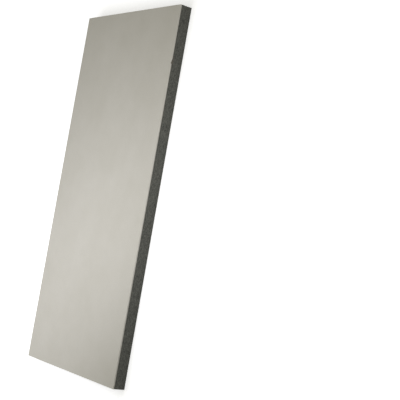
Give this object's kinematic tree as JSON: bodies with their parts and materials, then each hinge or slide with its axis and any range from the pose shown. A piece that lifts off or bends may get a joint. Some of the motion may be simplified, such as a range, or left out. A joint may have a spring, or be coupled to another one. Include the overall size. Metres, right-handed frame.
{
  "type": "insulated drywall sheet",
  "caption": "Flat drywall sheet with tapered paper-wrapped long edges, bonded to a thick slab of grey bead foam insulation, for lining and insulating a wall.",
  "frame": {"origin": "middle of the foam slab's back, on the surface that the sheet lies on", "axes": "+X across the sheet towards a tapered long edge, +Y along the sheet, +Z through the thickness towards the paper face"},
  "size_m": [1.2, 2.6, 0.0925],
  "materials": {
    "plasterboard_paper": "matte pale warm grey lining paper",
    "grey_bead_foam": "matte graphite-grey expanded bead foam, wire cut"
  },
  "bodies": {
    "root": {"plasterboard": "plasterboard_paper", "insulation_slab": "grey_bead_foam"}
  },
  "joints": []
}
